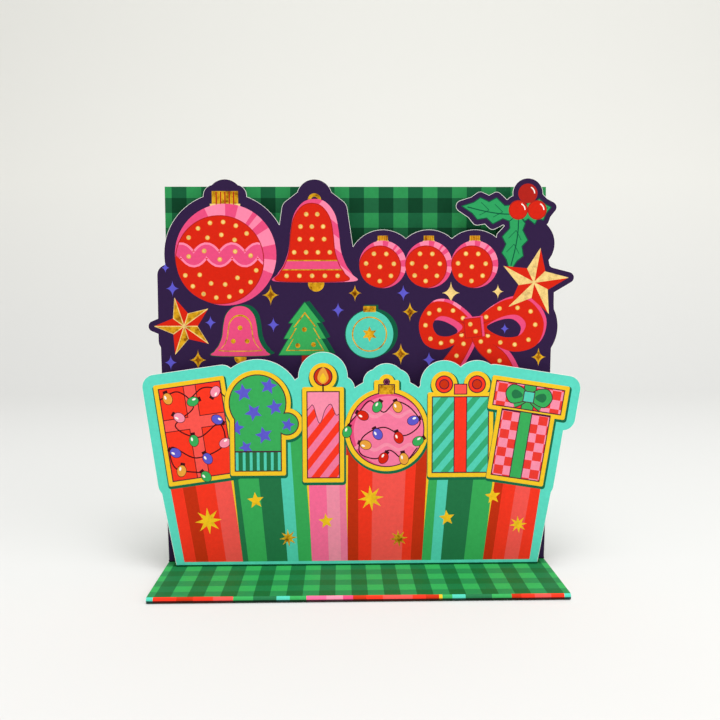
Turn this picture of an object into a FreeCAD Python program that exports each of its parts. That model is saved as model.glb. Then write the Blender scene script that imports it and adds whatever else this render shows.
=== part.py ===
import FreeCAD, Part
import math
import os
import re
import Sketcher
from FreeCAD import Placement, Rotation, Vector

# Free-standing layered greeting card: a folded stand and two die-cut layers in front of it
# Millimetres, +X right, +Y away from the reader, +Z up; origin under the middle of the base

doc = FreeCAD.newDocument("layered_card")
sheet = doc.addObject("Spreadsheet::Sheet", "sizes")

# Heights and the x of each motif are taken from the base's top surface and its middle
driving_sizes = [
    # Stand: one sheet folded double, with a rolled front edge
    ("base_width", 127.0),
    ("base_depth", 40.0),
    ("base_thickness", 2.0),
    ("panel_height", 125.5),
    ("stand_ply", 0.35),
    ("crease_inner", 0.15),
    # Layers: one board each, with the bottom edge folded back and glued to the base
    ("layer_stock", 0.45),
    ("fold_inner", 0.15),
    ("tab_clearance", 0.9),
    ("tab_chamfer", 3.0),
    ("middle_gap", 4.9),
    ("front_gap", 5.2),
    # Hinge strips that hold the layers parallel
    ("strip_stock", 0.3),
    ("strip_width", 12.0),
    ("strip_leg", 7.0),
    ("front_strip_inset", 25.5),
    ("front_strip_height", 44.0),
    ("rear_strip_inset", 23.5),
    ("rear_strip_height", 86.0),
    # Front layer: tapered panel and the row of presents that stands above it
    ("front_foot_inset", 3.5),
    ("front_flare", 5.3),
    ("front_panel_height", 30.0),
    ("row_backing_width", 100.0),
    ("row_backing_height", 24.0),
    ("row_backing_centre", 40.0),
    ("front_border", 4.2),
    ("parcel_side", -52.7),
    ("parcel_centre", 45.2),
    ("parcel_width", 22.0),
    ("parcel_height", 32.5),
    ("parcel_tilt", 8.0),
    ("mitten_side", -32.6),
    ("mitten_centre", 45.0),
    ("mitten_width", 17.0),
    ("mitten_height", 28.0),
    ("mitten_palm", 10.2),
    ("mitten_palm_centre", 54.4),
    ("thumb_offset", 9.6),
    ("thumb_centre", 47.5),
    ("thumb_radius", 4.6),
    ("candle_side", -11.2),
    ("candle_centre", 43.8),
    ("candle_width", 12.4),
    ("candle_height", 30.4),
    ("flame_centre", 63.0),
    ("flame_radius", 3.9),
    ("bauble_side", 9.6),
    ("bauble_centre", 45.4),
    ("bauble_radius", 13.2),
    ("bauble_cap_width", 7.0),
    ("bauble_cap_height", 2.6),
    ("bauble_ring_height", 61.2),
    ("bauble_ring_radius", 1.9),
    ("stripe_box_side", 33.9),
    ("stripe_box_centre", 43.6),
    ("stripe_box_width", 20.4),
    ("stripe_box_height", 27.0),
    ("bow_loop_offset", 5.4),
    ("bow_loop_lift", 3.2),
    ("bow_loop_radius", 3.7),
    ("check_box_side", 53.9),
    ("check_box_centre", 40.0),
    ("check_box_width", 18.0),
    ("check_box_height", 24.0),
    ("check_box_tilt", -9.0),
    ("lid_overlap", 1.0),
    ("lid_width", 24.6),
    ("lid_height", 10.0),
    # Middle layer: dark ground, a large bauble, a bell, three small baubles, stars and holly
    ("middle_flare", 1.7),
    ("middle_panel_height", 88.0),
    ("middle_border", 3.6),
    ("shoulder_width", 124.0),
    ("shoulder_centre", 85.4),
    ("shoulder_height", 21.6),
    ("ball_side", -43.0),
    ("ball_centre", 102.8),
    ("ball_radius", 16.6),
    ("ball_cap_width", 7.0),
    ("ball_cap_height", 2.6),
    ("bell_side", -13.8),
    ("bell_mouth_height", 94.0),
    ("bell_mouth_width", 25.0),
    ("bell_waist_height", 102.0),
    ("bell_waist_width", 19.0),
    ("bell_shoulder_height", 117.4),
    ("bell_shoulder_width", 14.4),
    ("bell_crown_height", 120.6),
    ("bell_crown_width", 6.0),
    ("hanger_height", 121.6),
    ("hanger_radius", 2.2),
    ("small_ball_first", 8.6),
    ("small_ball_pitch", 15.2),
    ("small_ball_centre", 99.6),
    ("small_ball_radius", 7.8),
    ("bow_loop_side", 53.6),
    ("bow_loop_height", 79.0),
    ("bow_loop_reach", 9.8),
    ("trim_border", 1.9),
    ("left_star_side", -57.0),
    ("left_star_centre", 79.4),
    ("left_star_radius", 9.9),
    ("left_star_turn", 18.0),
    ("right_star_side", 58.8),
    ("right_star_centre", 93.6),
    ("right_star_radius", 11.6),
    ("right_star_turn", -10.0),
    ("star_waist", 0.45),
    ("holly_side", 53.4),
    ("holly_centre", 116.0),
    ("leaf_length", 19.0),
    ("leaf_width", 8.6),
    ("short_leaf_length", 11.0),
    ("berry_radius", 3.1),
    ("berry_spread", 3.6),
    ("berry_side", 56.4),
    ("berry_height", 119.2),
    ("holly_ground_side", 57.0),
    ("holly_ground_height", 106.4),
    ("holly_ground_radius", 8.6),
]

for row, (alias, value) in enumerate(driving_sizes, start=1):
    sheet.set(f"A{row}", alias)
    sheet.set(f"B{row}", str(value))
    sheet.setAlias(f"B{row}", alias)
doc.recompute()

# Front faces of the back panel and the layers, as the y that each is set at
panel_face = "base_depth / 2 - 2 * stand_ply"
middle_face = f"{panel_face} - middle_gap"
front_face = f"{middle_face} - front_gap"

# Axes of a flat shape: upright for a layer's face, edgewise for a section across the card
upright = Rotation(Vector(1, 0, 0), 90)
edgewise = Rotation(Vector(1, 1, 1), 120)


def cells(text):
    """Name the sheet in front of each size in an expression."""
    return re.sub(r"\b(?!sin\b|cos\b)[a-z]\w*", lambda word: "sizes." + word.group(), text)


def bind(thing, **expressions):
    """Bind properties to the sheet; x, y and z stand for the place."""
    for key, text in expressions.items():
        path = f"Placement.Base.{key}" if key in "xyz" else key
        thing.setExpression(path, cells(text))


# Flat sheet work: plies, bends and closed outlines


def ply(name, size, corner):
    """A flat stretch of sheet, from its three sizes and its lowest corner."""
    box = doc.addObject("Part::Box", name)
    bind(box, Length=size[0], Width=size[1], Height=size[2])
    bind(box, x=corner[0], y=corner[1], z=corner[2])
    return box


def bend(name, length, middle, centre, inner, stock, start, sweep):
    """A sheet turned round a line along X; start and sweep are degrees from +Y towards +Z."""
    rounds = []
    for part_name, radius in ((name + "_outside", f"{inner} + {stock}"), (name + "_inside", inner)):
        rod = doc.addObject("Part::Cylinder", part_name)
        rod.Placement = Placement(Vector(), Rotation(Vector(1, 0, 0), start) * edgewise)
        rod.Angle = sweep
        bind(rod, Radius=radius, Height=length)
        bind(rod, x=f"{middle} - ({length}) / 2", y=centre[0], z=centre[1])
        rounds.append(rod)
    turned = doc.addObject("Part::Cut", name)
    turned.Base, turned.Tool = rounds
    return turned


def fuse(label, pieces):
    """Join what is one sheet on the real card into one solid."""
    joined = doc.addObject("Part::MultiFuse", label)
    joined.Shapes = pieces
    joined.Refine = True
    return joined


def pin(sketch, name, geometry, point, place):
    """Hold a point of a sketch at its place by two driving dimensions."""
    for axis, text in zip("XY", place):
        index = sketch.addConstraint(Sketcher.Constraint("Distance" + axis, -1, 1, geometry, point, 1.0))
        sketch.renameConstraint(index, name + axis)
        sketch.setExpression(f"Constraints.{name}{axis}", cells(text))


def polygon(name, corners, rotation):
    """A closed outline with straight sides, each corner pinned to the sheet."""
    sketch = doc.addObject("Sketcher::SketchObject", name)
    sketch.Placement = Placement(Vector(), rotation)
    count = len(corners)
    turns = [2 * math.pi * step / count for step in range(count)]
    first = [Vector(math.cos(turn), math.sin(turn), 0) for turn in turns]
    for step in range(count):
        sketch.addGeometry(Part.LineSegment(first[step], first[(step + 1) % count]), False)
    for step in range(count):
        sketch.addConstraint(Sketcher.Constraint("Coincident", step, 2, (step + 1) % count, 1))
    for step, corner in enumerate(corners):
        pin(sketch, f"corner{step}", step, 1, corner)
    return sketch


def circle(name, place, radius, rotation):
    """A round outline, its centre and radius pinned to the sheet."""
    sketch = doc.addObject("Sketcher::SketchObject", name)
    sketch.Placement = Placement(Vector(), rotation)
    sketch.addGeometry(Part.Circle(Vector(), Vector(0, 0, 1), 1), False)
    pin(sketch, "centre", 0, 3, place)
    index = sketch.addConstraint(Sketcher.Constraint("Radius", 0, 1))
    sketch.renameConstraint(index, "radius")
    sketch.setExpression("Constraints.radius", cells(radius))
    return sketch


def extrude(name, outline, direction, thickness):
    """Give an outline the sheet's thickness."""
    solid = doc.addObject("Part::Extrusion", name)
    solid.Base = outline
    solid.DirMode = "Custom"
    solid.Dir = direction
    solid.Solid = True
    bind(solid, LengthFwd=thickness)
    return solid


def grown(outline, border):
    """The die line round a motif: its outline, a border further out, with round corners."""
    line = doc.addObject("Part::Offset2D", outline.Name + "_die_line")
    line.Source = outline
    line.Join = "Arc"
    bind(line, Value=border)
    return line


# Corners of the motifs, as expressions


def box_corners(side, centre, width, height, tilt="0"):
    """A rectangle about its centre, turned anticlockwise by a tilt in degrees."""
    corners = []
    for across, along in ((-1, -1), (1, -1), (1, 1), (-1, 1)):
        reach = f"{across} * {width} / 2"
        rise = f"{along} * {height} / 2"
        corners.append((f"{side} + {reach} * cos({tilt}) - {rise} * sin({tilt})",
                        f"{centre} + {reach} * sin({tilt}) + {rise} * cos({tilt})"))
    return corners


def star_corners(side, centre, radius, turn):
    """A five-pointed star: ten corners, tip and waist by turns."""
    corners = []
    for step in range(10):
        reach = radius if step % 2 == 0 else f"{radius} * star_waist"
        angle = f"90 + {36 * step} + {turn}"
        corners.append((f"{side} + {reach} * cos({angle})", f"{centre} + {reach} * sin({angle})"))
    return corners


def leaf_corners(length, turn):
    """A holly leaf from its stalk end: spines and hollows by turns, up one edge and down the other."""
    edge = [(0.14, 0.62), (0.26, 0.5), (0.42, 1.0), (0.54, 0.62), (0.7, 0.84), (0.8, 0.42)]
    shape = [(0, 0)] + [(along, -out) for along, out in edge] + [(1, 0)] + edge[::-1]
    corners = []
    for along, out in shape:
        reach = f"{along} * {length}"
        rise = f"{out} * leaf_width / 2"
        corners.append((f"holly_side + {reach} * cos({turn}) - ({rise}) * sin({turn})",
                        f"holly_centre + {reach} * sin({turn}) + ({rise}) * cos({turn})"))
    return corners


def bell_corners():
    """A bell from its mouth up one side and down the other."""
    levels = ("mouth", "waist", "shoulder", "crown")
    right = [(f"bell_side + bell_{level}_width / 2", f"bell_{level}_height") for level in levels]
    left = [(f"bell_side - bell_{level}_width / 2", f"bell_{level}_height") for level in levels]
    return right + left[::-1]


# Sub-parts


def build_stand():
    """One sheet folded double: rear ply, heel, bottom ply, rolled nose, top ply, corner, front ply."""
    half = "base_depth / 2"
    nose = "base_thickness / 2"
    heel = "(crease_inner + stand_ply)"
    across = ("base_width", "-base_width / 2", "0")
    pieces = [
        ply("bottom_ply",
            (across[0], f"base_depth - {nose} - {heel}", "stand_ply"),
            (across[1], f"{nose} - {half}", "0")),
        bend("nose_roll", across[0], across[2],
             (f"{nose} - {half}", nose), f"{nose} - stand_ply", "stand_ply", 90, 180),
        ply("top_ply",
            (across[0], f"base_depth - {nose} - 2 * stand_ply - crease_inner", "stand_ply"),
            (across[1], f"{nose} - {half}", "base_thickness - stand_ply")),
        bend("inner_corner", across[0], across[2],
             (f"{panel_face} - crease_inner", "base_thickness + crease_inner"),
             "crease_inner", "stand_ply", 270, 90),
        ply("front_ply",
            (across[0], "stand_ply", "panel_height - crease_inner"),
            (across[1], panel_face, "base_thickness + crease_inner")),
        ply("rear_ply",
            (across[0], "stand_ply", f"base_thickness + panel_height - {heel}"),
            (across[1], f"{half} - stand_ply", heel)),
        bend("heel_crease", across[0], across[2],
             (f"{half} - {heel}", heel), "crease_inner", "stand_ply", 270, 90),
    ]
    return fuse("folded_stand", pieces)


def layer_blank(name, half_foot, face, gap):
    """A layer's tapered panel with its bottom edge folded back into a glue tab."""
    turn = "(fold_inner + layer_stock)"
    tab_end = f"{gap} - tab_clearance"
    half_top = f"{half_foot} + {name}_flare"
    panel = polygon(name + "_panel_outline",
                    [(f"-({half_foot})", turn), (half_foot, turn),
                     (half_top, f"{name}_panel_height"), (f"-({half_top})", f"{name}_panel_height")],
                    upright)
    bind(panel, y=face, z="base_thickness")
    tab = polygon(name + "_tab_outline",
                  [(f"-({half_foot})", turn), (half_foot, turn),
                   (f"{half_foot} - tab_chamfer", tab_end), (f"tab_chamfer - ({half_foot})", tab_end)],
                  Rotation())
    bind(tab, y=face, z="base_thickness")
    fold = bend(name + "_fold", f"2 * ({half_foot})", "0",
                (f"{face} + {turn}", f"base_thickness + {turn}"), "fold_inner", "layer_stock", 180, 90)
    return [extrude(name + "_panel", panel, Vector(0, 1, 0), "layer_stock"),
            extrude(name + "_tab", tab, Vector(0, 0, 1), "layer_stock"), fold]


def layer_motifs(name, face, polygons, circles):
    """The motifs that shape a layer's die line, each grown by its border."""
    solids = []
    for motif, corners, border in polygons:
        outline = polygon(f"{name}_{motif}", corners, upright)
        bind(outline, y=face, z="base_thickness")
        die_line = grown(outline, border) if border else outline
        solids.append(extrude(f"{name}_{motif}_board", die_line, Vector(0, 1, 0), "layer_stock"))
    for motif, place, radius in circles:
        outline = circle(f"{name}_{motif}", place, radius, upright)
        bind(outline, y=face, z="base_thickness")
        solids.append(extrude(f"{name}_{motif}_board", outline, Vector(0, 1, 0), "layer_stock"))
    return solids


def build_front_layer():
    """Tapered panel and, above it, a parcel, mitten, candle, bauble and two gift boxes."""
    border = "front_border"
    bauble_cap = "bauble_centre + bauble_radius"
    box_top = "stripe_box_centre + stripe_box_height / 2 + bow_loop_lift"
    lid_lift = "(check_box_height / 2 + lid_height / 2 - lid_overlap)"
    polygons = [
        ("parcel", box_corners("parcel_side", "parcel_centre", "parcel_width", "parcel_height",
                               "parcel_tilt"), border),
        ("mitten", box_corners("mitten_side", "mitten_centre", "mitten_width", "mitten_height"), border),
        ("candle", box_corners("candle_side", "candle_centre", "candle_width", "candle_height"), border),
        ("bauble_cap", box_corners("bauble_side", bauble_cap, "bauble_cap_width",
                                   "(2 * bauble_cap_height)"), border),
        ("stripe_box", box_corners("stripe_box_side", "stripe_box_centre", "stripe_box_width",
                                   "stripe_box_height"), border),
        ("check_box", box_corners("check_box_side", "check_box_centre", "check_box_width",
                                  "check_box_height", "check_box_tilt"), border),
        ("lid", box_corners(f"check_box_side - {lid_lift} * sin(check_box_tilt)",
                            f"check_box_centre + {lid_lift} * cos(check_box_tilt)",
                            "lid_width", "lid_height", "check_box_tilt"), border),
        ("row_backing", box_corners("0", "row_backing_centre", "row_backing_width",
                                    "row_backing_height"), None),
    ]
    circles = [
        ("mitten_palm", ("mitten_side", "mitten_palm_centre"), f"mitten_palm + {border}"),
        ("thumb", ("mitten_side + thumb_offset", "thumb_centre"), f"thumb_radius + {border}"),
        ("flame", ("candle_side", "flame_centre"), f"flame_radius + {border}"),
        ("bauble", ("bauble_side", "bauble_centre"), f"bauble_radius + {border}"),
        ("bauble_ring", ("bauble_side", "bauble_ring_height"), f"bauble_ring_radius + {border}"),
        ("left_loop", ("stripe_box_side - bow_loop_offset", box_top), f"bow_loop_radius + {border}"),
        ("right_loop", ("stripe_box_side + bow_loop_offset", box_top), f"bow_loop_radius + {border}"),
    ]
    blank = layer_blank("front", "base_width / 2 - front_foot_inset", front_face, "front_gap")
    return fuse("front_layer", blank + layer_motifs("front", front_face, polygons, circles))


def build_middle_layer():
    """Dark ground with square shoulders, and the ornaments that rise out of it."""
    border = "middle_border"
    trim = "trim_border"
    ball_cap = "ball_centre + ball_radius"
    polygons = [
        ("shoulders", box_corners("0", "shoulder_centre", "shoulder_width", "shoulder_height"), border),
        ("ball_cap", box_corners("ball_side", ball_cap, "ball_cap_width", "(2 * ball_cap_height)"), border),
        ("bell", bell_corners(), border),
        ("left_star", star_corners("left_star_side", "left_star_centre", "left_star_radius",
                                   "left_star_turn"), trim),
        ("right_star", star_corners("right_star_side", "right_star_centre", "right_star_radius",
                                    "right_star_turn"), trim),
        ("left_leaf", leaf_corners("leaf_length", "172"), trim),
        ("right_leaf", leaf_corners("short_leaf_length", "12"), trim),
        ("lower_leaf", leaf_corners("leaf_length", "262"), trim),
    ]
    circles = [
        ("ball", ("ball_side", "ball_centre"), f"ball_radius + {border}"),
        ("ball_hanger", ("ball_side", "hanger_height"), f"hanger_radius + {border}"),
        ("bell_hanger", ("bell_side", "hanger_height"), f"hanger_radius + {border}"),
        ("bow_loop", ("bow_loop_side", "bow_loop_height"), f"bow_loop_reach + {border}"),
        ("holly_ground", ("holly_ground_side", "holly_ground_height"), "holly_ground_radius"),
    ]
    for step in range(3):
        place = (f"small_ball_first + {step} * small_ball_pitch", "small_ball_centre")
        circles.append((f"small_ball_{step + 1}", place, f"small_ball_radius + {border}"))
    for step in range(3):
        turn = 90 + 120 * step
        place = (f"berry_side + berry_spread * cos({turn})", f"berry_height + berry_spread * sin({turn})")
        circles.append((f"berry_{step + 1}", place, f"berry_radius + {trim}"))
    blank = layer_blank("middle", "base_width / 2", middle_face, "middle_gap")
    return fuse("middle_layer", blank + layer_motifs("middle", middle_face, polygons, circles))


def build_strip(label, side, height, front_face, rear_face):
    """A Z-folded strip glued up one layer and down the next."""
    turn = "(crease_inner + strip_stock)"
    low = f"base_thickness + {height}"
    left = f"{side} - strip_width / 2"
    upright_leg = f"strip_leg - {turn}"
    pieces = [
        ply(label + "_front_leg", ("strip_width", "strip_stock", upright_leg),
            (left, front_face, f"{low} + {turn}")),
        bend(label + "_front_fold", "strip_width", side,
             (f"{front_face} + {turn}", f"{low} + {turn}"), "crease_inner", "strip_stock", 180, 90),
        ply(label + "_bridge", ("strip_width", f"({rear_face}) - ({front_face}) - 2 * {turn}", "strip_stock"),
            (left, f"{front_face} + {turn}", low)),
        bend(label + "_rear_fold", "strip_width", side,
             (f"{rear_face} - {turn}", f"{low} + strip_stock - {turn}"),
             "crease_inner", "strip_stock", 0, 90),
        ply(label + "_rear_leg", ("strip_width", "strip_stock", upright_leg),
            (left, f"{rear_face} - strip_stock", f"{low} + strip_stock - strip_leg")),
    ]
    return fuse(label, pieces)


sub_parts = [build_stand(), build_middle_layer(), build_front_layer()]
for hand, sign in (("left", "-"), ("right", "+")):
    sub_parts.append(build_strip(f"front_hinge_{hand}", f"{sign}(base_width / 2 - front_strip_inset)",
                                 "front_strip_height", f"{front_face} + layer_stock", middle_face))
    sub_parts.append(build_strip(f"rear_hinge_{hand}", f"{sign}(base_width / 2 - rear_strip_inset)",
                                 "rear_strip_height", f"{middle_face} + layer_stock", panel_face))
doc.recompute()

for thing in doc.Objects:
    if {"Invalid", "Error"} & set(thing.State):
        raise RuntimeError(f"{thing.Name} failed: {thing.State}")

os.makedirs("parts", exist_ok=True)
for sub_part in sub_parts:
    shape = sub_part.Shape
    if shape.isNull() or not shape.isValid() or len(shape.Solids) != 1:
        raise RuntimeError(f"{sub_part.Label} isn't one sound solid")
    shape.exportStep(f"parts/{sub_part.Label}.step")
    box = shape.BoundBox
    print(f"{sub_part.Label}: volume {shape.Volume:.1f} mm3, {len(shape.Faces)} faces, "
          f"x {box.XMin:.1f} to {box.XMax:.1f}, y {box.YMin:.1f} to {box.YMax:.1f}, "
          f"z {box.ZMin:.1f} to {box.ZMax:.1f}")
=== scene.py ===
import math

import bpy
import numpy as np
from mathutils import Matrix, Vector
from mathutils.geometry import delaunay_2d_cdt


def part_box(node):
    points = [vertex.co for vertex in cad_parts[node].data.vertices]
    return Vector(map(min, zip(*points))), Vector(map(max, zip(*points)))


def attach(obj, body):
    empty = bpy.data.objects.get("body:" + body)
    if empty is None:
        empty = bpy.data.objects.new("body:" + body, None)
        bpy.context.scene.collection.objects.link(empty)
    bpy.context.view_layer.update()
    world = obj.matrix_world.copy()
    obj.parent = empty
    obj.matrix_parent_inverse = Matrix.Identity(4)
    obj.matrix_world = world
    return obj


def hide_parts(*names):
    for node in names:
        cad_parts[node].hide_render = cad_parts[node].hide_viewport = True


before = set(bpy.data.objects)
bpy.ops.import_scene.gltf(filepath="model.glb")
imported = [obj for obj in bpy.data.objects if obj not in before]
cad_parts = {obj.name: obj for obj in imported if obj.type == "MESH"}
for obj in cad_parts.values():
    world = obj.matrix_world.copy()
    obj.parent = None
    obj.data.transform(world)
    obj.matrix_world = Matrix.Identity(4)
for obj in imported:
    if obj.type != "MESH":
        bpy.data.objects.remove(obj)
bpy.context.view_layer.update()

mm = 0.001
near = 0.01  # mm: places nearer than this lie level
cutting = (1, 1e-5, True)  # loops cut to triangles: only inside them, nearer corners merged, owners told

# Printed inks as screen colours, 0 to 255
inks = {
    "paper": (236, 234, 228), "white": (246, 240, 232), "underside": (30, 114, 69),
    # The panel's plaid inks are darker than the base's, though the sheet is printed alike: painted shade on
    # the upright panel
    "panelLight": (41, 140, 77), "panelColumn": (16, 90, 54),
    "panelRow": (24, 95, 57), "panelDark": (0, 60, 33),
    "baseLight": (46, 160, 80), "baseColumn": (22, 110, 59),
    "baseRow": (37, 131, 72), "baseDark": (21, 97, 46),
    "purple": (44, 24, 63), "violet": (90, 84, 196), "line": (69, 18, 49), "wire": (58, 11, 18),
    "red": (242, 51, 27), "darkRed": (194, 44, 7), "lightRed": (242, 82, 74), "deepRed": (208, 31, 6),
    "checkRed": (228, 54, 44), "berry": (206, 31, 8), "darkBerry": (170, 28, 18),
    "pink": (239, 118, 154), "lightPink": (241, 139, 165), "hotPink": (226, 73, 122),
    "sidePink": (246, 130, 163), "stripePink": (248, 104, 150),
    "green": (54, 165, 85), "darkGreen": (32, 112, 67), "deepGreen": (4, 85, 56), "leaf": (41, 154, 89),
    "teal": (80, 200, 175), "tealShade": (51, 163, 112), "tealEdge": (89, 210, 188), "drop": (11, 100, 69),
    "yellow": (238, 192, 35), "amber": (228, 156, 56),
    "gold": (252, 198, 48), "brightGold": (252, 222, 150), "sunGold": (252, 203, 32),
    "darkGold": (186, 124, 34),
}
foilShare = {"gold": 1.0, "darkGold": 1.0, "brightGold": 0.5, "sunGold": 0.3}  # how metallic an ink is


# A screen colour as linear light
def linear(colour):
    share = np.array(colour, float) / 255
    return np.where(share <= 0.04045, share / 12.92, ((share + 0.055) / 1.055) ** 2.4)


# Flat shapes: arrays of (x, h) in mm, x from the card's middle and h above the base's top

# The place at a reach and an angle from (x, h), or many such places: x + reach cos t, h + reach sin t
def polar(x, h, reach, degrees):
    turn = np.radians(degrees)
    return np.stack([x + reach * np.cos(turn), h + reach * np.sin(turn)], -1)


# Circle or ellipse: x + r cos t, h + tall r sin t, in chords that stray from it by a set length at most
def disc(x, h, radius, tall=1.0, stray=0.015):
    steps = math.ceil(math.pi / math.acos(1 - stray / radius))
    turn = np.linspace(0, 2 * np.pi, steps, endpoint=False)
    return np.c_[x + radius * np.cos(turn), h + tall * radius * np.sin(turn)]


# Points turned anticlockwise about (x, h)
def turned(points, degrees, x=0.0, h=0.0):
    turn = math.radians(degrees)
    spin = np.array([[math.cos(turn), math.sin(turn)], [-math.sin(turn), math.cos(turn)]])
    return (np.asarray(points, float) - (x, h)) @ spin + (x, h)


# Rectangle about its centre
def slab(x, h, width, height, tilt=0.0):
    corners = np.array([(-1, -1), (1, -1), (1, 1), (-1, 1)]) * (width / 2, height / 2) + (x, h)
    return turned(corners, tilt, x, h)


# Star: the reach is the radius at each tip and a share of it at each waist
def star(x, h, radius, turn=0.0, tips=5, waist=0.45):
    step = np.arange(2 * tips)
    reach = np.where(step % 2 == 0, radius, radius * waist)
    return polar(x, h, reach, 90 + turn + 180 * step / tips)


# Four-pointed sparkle: a high power of cos t and sin t, with their signs, so its sides curve inwards
def sparkle(x, h, radius, tall=1.25, power=3.6, steps=32):
    turn = np.linspace(0, 2 * np.pi, steps, endpoint=False)
    across, up = np.cos(turn), np.sin(turn)
    return np.c_[x + radius * np.sign(across) * np.abs(across) ** power,
                 h + tall * radius * np.sign(up) * np.abs(up) ** power]


# Outline moved outwards: sharp corners turn round an arc, shallow and inner ones keep their crossing
def grow(points, border, arcSteps=6, shallow=0.35, tiny=1e-4):
    edge = np.roll(points, -1, 0) - points
    normal = np.c_[edge[:, 1], -edge[:, 0]] / np.hypot(*edge.T)[:, None]
    before = np.roll(normal, 1, 0)
    bend = np.arctan2(before[:, 0] * normal[:, 1] - before[:, 1] * normal[:, 0], (before * normal).sum(1))
    angle = np.arctan2(before[:, 1], before[:, 0])[:, None] + bend[:, None] * np.linspace(0, 1, arcSteps)
    arc = points[:, None] + border * np.stack([np.cos(angle), np.sin(angle)], -1)
    crossing = points + border * (before + normal) / (1 + (before * normal).sum(1))[:, None]
    keep = (bend * border <= 0) | (np.abs(bend) < shallow)
    arc[keep] = crossing[keep][:, None]
    arc = arc.reshape(-1, 2)
    return arc[np.hypot(*(arc - np.roll(arc, 1, 0)).T) > tiny]


# Catmull-Rom curve through knots: on each span a cubic of t set by the four knots round it
def smooth(knots, steps=8, closed=False):
    knots = np.asarray(knots, float)
    before, after = knots[-1:], knots[:2]
    if not closed:
        before, after = 2 * knots[:1] - knots[1:2], 2 * knots[-1:] - knots[-2:-1]
    run = np.r_[before, knots, after]
    a, b, c, d = (run[i:len(run) - 3 + i, None] for i in range(4))
    t = np.linspace(0, 1, steps, endpoint=False)[None, :, None]
    curve = 2 * b + (c - a) * t + (2 * a - 5 * b + 4 * c - d) * t**2 + (3 * b - a - 3 * c + d) * t**3
    curve = curve.reshape(-1, 2) / 2
    return curve if closed else np.r_[curve, knots[-1:]]


# Line along a path: the path moved half its width to each side
def stroke(path, width):
    path = np.asarray(path, float)
    along = np.gradient(path, axis=0)
    side = np.c_[-along[:, 1], along[:, 0]] / np.hypot(*along.T)[:, None] * np.reshape(width, (-1, 1)) / 2
    return np.r_[path - side, (path + side)[::-1]]


# Waved path: h + lift sin(pace u + start) over a run u to each side of x
def waved(x, h, half, lift, pace, start=0.0, steps=60):
    run = np.linspace(-half, half, steps)
    return np.c_[x + run, h + lift * np.sin(pace * run + start)]


# Places at a pitch, as many to one side of 0 as to the other
def spaced(count, pitch):
    return pitch * (np.arange(count) - (count - 1) / 2)


# Bell on the middle of its mouth, a curve through half-widths at shares of its height
def bellShape(x, h, width, height):
    half = [(0.5, 0.0), (0.5, 0.09), (0.42, 0.2), (0.35, 0.38), (0.32, 0.62), (0.27, 0.82), (0.15, 0.96)]
    left = (np.array(half) * (-1, 1))[::-1]
    return smooth(np.r_[half, [(0, 1)], left] * (width, height) + (x, h), closed=True)


# Holly leaf from its stalk end: spines and hollows by turns, out along one edge and back along the other
def leafShape(x, h, length, width, turn):
    edge = np.array([(0.14, 0.62), (0.26, 0.5), (0.42, 1.0), (0.54, 0.62), (0.7, 0.84), (0.8, 0.42)])
    shape = np.r_[[(0, 0)], edge * (1, -1), [(1, 0)], edge[::-1]] * (length, width / 2)
    return turned(shape + (x, h), turn, x, h)


# The print of one board: shapes in the order they are laid down
class Print:
    def __init__(self, outline):
        self.shapes, self.ink, self.within, self.names = [outline], ["paper"], [""], ["board"]

    # One shape in one ink, which shows only inside the shapes called within
    def lay(self, shape, ink, within="board", name=""):
        area = np.sum(shape[:, 0] * np.roll(shape[:, 1], -1) - np.roll(shape[:, 0], -1) * shape[:, 1])
        self.shapes.append(shape if area > 0 else shape[::-1])
        self.ink.append(ink)
        self.within.append(within)
        self.names.append(name)

    # Several inks, each in a shape grown by its border
    def rings(self, shape, borders, within="board", name=""):
        for border, ink in borders:
            self.lay(grow(shape, border) if border else shape, ink, within, name)

    # Triangles of the whole board, each in the ink of the last shape that shows there
    def cut(self):
        count = np.array([len(shape) for shape in self.shapes])
        start = np.cumsum(count) - count
        loops = [list(range(first, first + many)) for first, many in zip(start, count)]
        corners = [Vector(corner) for corner in np.concatenate(self.shapes)]
        corners, _, triangles, _, _, owners = delaunay_2d_cdt(corners, [], loops, *cutting)
        owned = np.zeros((len(triangles), len(self.shapes)), bool)
        rows = np.repeat(np.arange(len(owners)), [len(own) for own in owners])
        owned[rows, np.concatenate(owners).astype(int)] = True
        names, within = np.array(self.names), np.array(self.within)
        shows = owned.copy()
        for group in set(self.within) - {""}:
            shows[:, within == group] &= owned[:, names == group].any(1)[:, None]
        top = (shows * np.arange(len(self.shapes))).max(1)
        kept = owned[:, 0]
        used, faces = np.unique(np.array(triangles)[kept], return_inverse=True)
        return np.array(corners)[used], faces.reshape(-1, 3), np.array(self.ink)[top[kept]]


# Slab with an edge of another ink round it
def edgedSlab(art, x, h, width, height, edge, edgeInk, ink, tilt=0.0, within="board"):
    art.lay(slab(x, h, width + edge, height + edge, tilt), edgeInk, within)
    art.lay(slab(x, h, width, height, tilt), ink, within)


# Line with an edge of another ink along it
def edgedStroke(art, path, width, edge, edgeInk, ink, within="board"):
    art.lay(stroke(path, width + edge), edgeInk, within)
    art.lay(stroke(path, width), ink, within)


# Materials

cardFinish = {
    "roughness": 0.6, "specular": 0.1, "foilRoughness": 0.32, "foilMetal": 0.7,
    "mottle": (900, 5, 0.95, 1.05), "grain": (5200, 2, 0.97, 1.03),  # scale, detail, darkest, palest
    # The noise and tone ramp of the foil's colour, from dark bronze to pale gold, are partly its mottle and
    # partly painted reflection
    "relief": 0.12, "fibre": (3800, 4), "fibreDepth": 0.03, "foilMottleAndReflection": (420, 3, 0.7),
    "foilTones": ((0.34, (0.3, 0.17, 0.05, 1)), (0.47, (0.72, 0.62, 0.36, 1)),
                  (0.62, (1.0, 0.93, 0.72, 1))),
}
stripFinish = {"roughness": 0.8, "specular": 0.5, "tone": (1400, 6, 0.93, 1.0), "relief": 0.25}


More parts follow.
